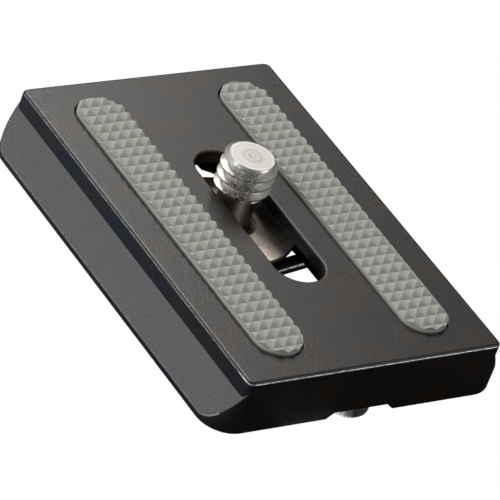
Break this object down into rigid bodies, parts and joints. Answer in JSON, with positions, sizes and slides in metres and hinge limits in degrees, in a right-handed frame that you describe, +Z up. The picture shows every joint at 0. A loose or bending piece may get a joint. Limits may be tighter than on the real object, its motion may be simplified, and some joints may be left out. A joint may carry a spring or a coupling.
{
  "type": "tripod quick release plate",
  "caption": "Dovetail quick release plate with a captive camera screw in a slot, a folding ring to turn it, rubber grip strips and stop screws underneath.",
  "frame": {"origin": "under the middle of the plate, level with the lowest point, which is the underside of the screw's hinge boss; the plate's underside is 2.2 mm above it", "axes": "+Z up towards the camera, +Y along the plate and its dovetail towards the end that is far in the picture, +X across the dovetail"},
  "size_m": [0.038, 0.05, 0.014],
  "materials": {
    "plate": "black anodised, satin",
    "grip": "matt grey moulded rubber",
    "washer": "brushed",
    "screw": "turned stainless steel",
    "ring": "polished wire",
    "stop": "plated"
  },
  "bodies": {
    "plate": {"plate_body": "plate", "grip_strip_left": "grip", "grip_strip_right": "grip", "stop_screw_near": "stop", "stop_screw_far": "stop"},
    "washer": {"screw_washer": "washer"},
    "screw": {"camera_screw": "screw"},
    "ring": {"d_ring": "ring"}
  },
  "joints": [
    {"name": "screw_slide", "type": "slide", "parent": "plate", "child": "washer", "axis": [0, 1, 0], "range_m": [-0.01315, 0.00445]},
    {"name": "screw_spin", "type": "hinge", "parent": "washer", "child": "screw", "pos_m": [0, 0.00435, 0], "axis": [0, 0, 1], "continuous": true},
    {"name": "ring_fold", "type": "hinge", "parent": "screw", "child": "ring", "pos_m": [0, 0.00435, 0.0012], "axis": [-0.1547, 0.988, 0], "range_deg": [0, 180]}
  ]
}
